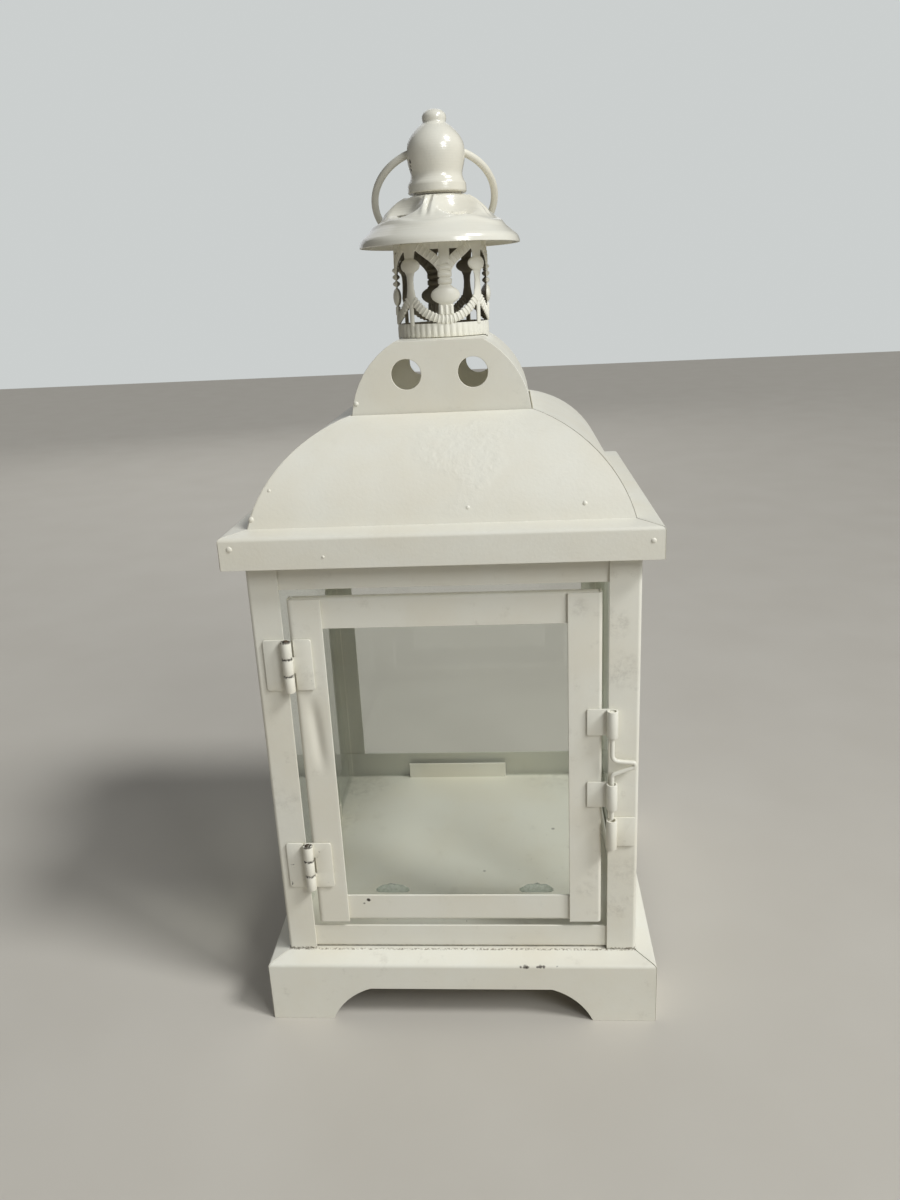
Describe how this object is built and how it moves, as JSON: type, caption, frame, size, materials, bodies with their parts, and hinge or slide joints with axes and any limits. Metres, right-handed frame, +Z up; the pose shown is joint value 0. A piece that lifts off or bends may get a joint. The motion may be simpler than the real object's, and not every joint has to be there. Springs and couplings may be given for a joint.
{
  "type": "candle lantern",
  "caption": "Square candle lantern of cream-painted sheet metal: glazed body, hinged glass door with a wire latch, curved roof, vented dome, pierced chimney and ring handle.",
  "frame": {"origin": "centre of the plinth on the ground", "axes": "+Z up, the door faces -Y, the door's hinges are on the -X side"},
  "size_m": [0.144, 0.144, 0.3201],
  "materials": {
    "cream_paint": "semi-gloss cream enamel, slightly pitted",
    "gloss_paint": "gloss cream enamel, thickly applied",
    "pane_glass": "clear float glass with a slight green edge",
    "bare_steel": "dull, mostly unpainted"
  },
  "bodies": {
    "lantern": {"plinth_front": "cream_paint", "plinth_right": "cream_paint", "plinth_back": "cream_paint", "plinth_left": "cream_paint", "post_front_left": "cream_paint", "post_front_right": "cream_paint", "post_back_right": "cream_paint", "post_back_left": "cream_paint", "front_bottom_rail": "cream_paint", "front_top_rail": "cream_paint", "right_bottom_rail": "cream_paint", "right_top_rail": "cream_paint", "back_bottom_rail": "cream_paint", "back_top_rail": "cream_paint", "left_bottom_rail": "cream_paint", "left_top_rail": "cream_paint", "floor_plate": "cream_paint", "glass_right": "pane_glass", "glass_back": "pane_glass", "glass_left": "pane_glass", "hinge_upper_post_leaf": "cream_paint", "hinge_upper_pin": "bare_steel", "hinge_lower_post_leaf": "cream_paint", "hinge_lower_pin": "bare_steel", "latch_keeper": "cream_paint", "roof_front": "cream_paint", "roof_right": "cream_paint", "roof_back": "cream_paint", "roof_left": "cream_paint", "dome_front_plate": "cream_paint", "dome_back_plate": "cream_paint", "dome_shell": "cream_paint", "chimney": "cream_paint", "chimney_cap": "gloss_paint", "finial": "gloss_paint", "finial_screw": "bare_steel"},
    "door": {"door_hinge_stile": "cream_paint", "door_latch_stile": "cream_paint", "door_bottom_rail": "cream_paint", "door_top_rail": "cream_paint", "door_glass": "pane_glass", "hinge_upper_door_leaf": "cream_paint", "hinge_lower_door_leaf": "cream_paint", "latch_guide_upper": "cream_paint", "latch_guide_lower": "cream_paint"},
    "latch": {"latch_wire": "cream_paint"},
    "ring": {"ring_handle": "cream_paint"}
  },
  "joints": [
    {"name": "door_hinge", "type": "hinge", "parent": "lantern", "child": "door", "pos_m": [-0.05335, -0.067, 0.102], "axis": [0, 0, -1], "range_deg": [0, 180]},
    {"name": "latch_slide", "type": "slide", "parent": "door", "child": "latch", "axis": [0, 0, 1], "range_m": [-0.0028, 0.002]},
    {"name": "ring_swing", "type": "hinge", "parent": "lantern", "child": "ring", "pos_m": [0, 0, 0.3069], "axis": [0.9903, 0.1392, 0], "range_deg": [0, 269.5]}
  ]
}
